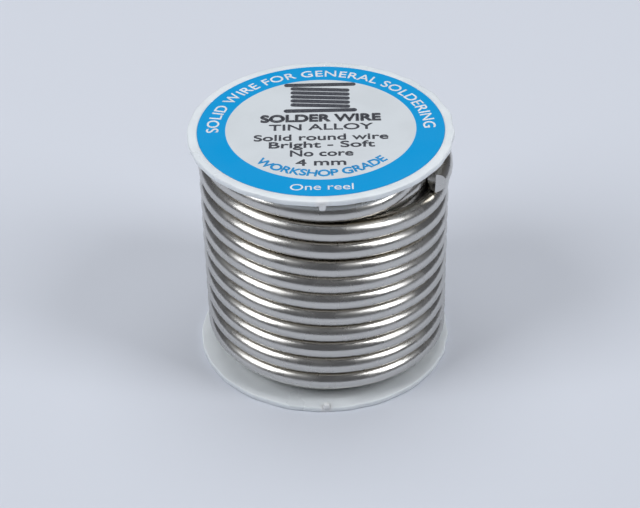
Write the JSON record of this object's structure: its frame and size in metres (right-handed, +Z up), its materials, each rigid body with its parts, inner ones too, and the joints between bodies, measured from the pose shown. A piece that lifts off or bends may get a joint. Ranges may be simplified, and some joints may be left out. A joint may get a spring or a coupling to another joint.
{
  "type": "solder wire spool",
  "caption": "Flanged plastic spool close-wound with thick bright solder wire, with a round printed label on its top flange.",
  "frame": {"origin": "centre of the face that the spool stands on", "axes": "+Z up along the spool's axis; -Y towards the gate marks on the flanges' rims, which is the front"},
  "size_m": [0.0526, 0.0527, 0.051],
  "materials": {
    "spool_plastic": "satin, translucent natural plastic",
    "solder_tin": "bright drawn tin",
    "label_paper": "printed, satin"
  },
  "bodies": {
    "root": {"spool_lower_half": "spool_plastic", "spool_upper_half": "spool_plastic", "solder_wire_inner_layer": "solder_tin", "solder_wire_second_layer": "solder_tin", "solder_wire_third_layer": "solder_tin", "solder_wire_outer_layer": "solder_tin", "solder_wire_end": "solder_tin", "top_label": "label_paper"}
  },
  "joints": []
}
